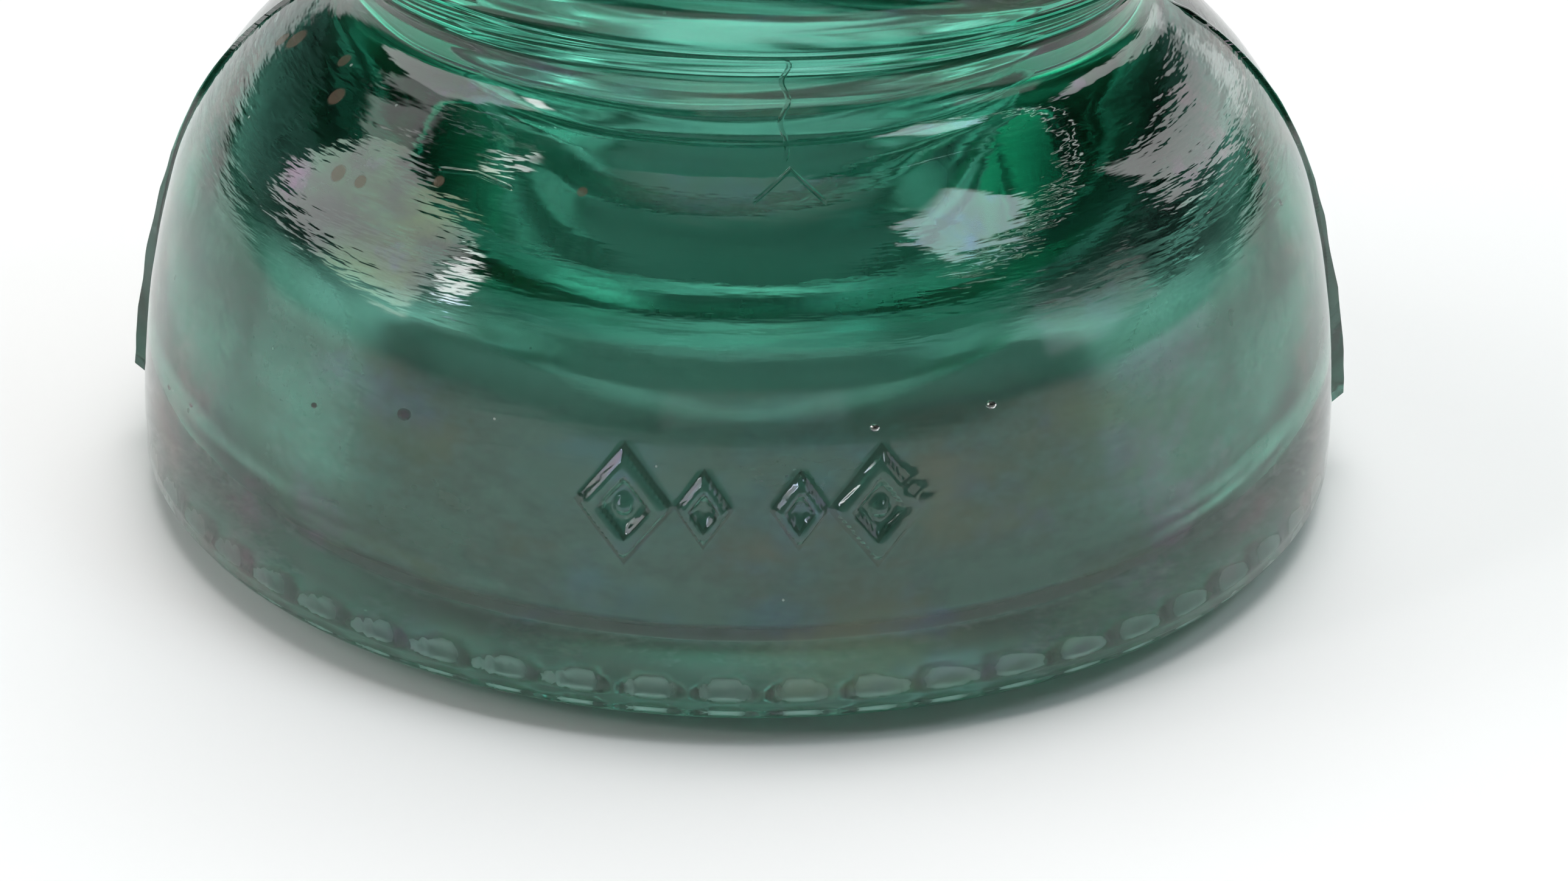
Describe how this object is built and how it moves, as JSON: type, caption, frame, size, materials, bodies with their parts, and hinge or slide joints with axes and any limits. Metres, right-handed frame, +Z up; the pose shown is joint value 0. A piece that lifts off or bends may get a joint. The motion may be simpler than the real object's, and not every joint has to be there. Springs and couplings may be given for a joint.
{
  "type": "glass insulator",
  "caption": "Pressed-glass pin insulator with a flared hoop skirt, wire groove, domed crown and threaded pin hole.",
  "frame": {"origin": "on the axis, at the height of the drip points that the insulator stands on", "axes": "+Z up along the axis of the pin hole, -Y towards the side with the raised ornament; the mould seams are at +X and -X"},
  "size_m": [0.0948, 0.092, 0.1016],
  "materials": {
    "glass_body": "pressed teal-grey glass with a thin weathering film"
  },
  "bodies": {
    "root": {"glass_body": "glass_body"}
  },
  "joints": []
}
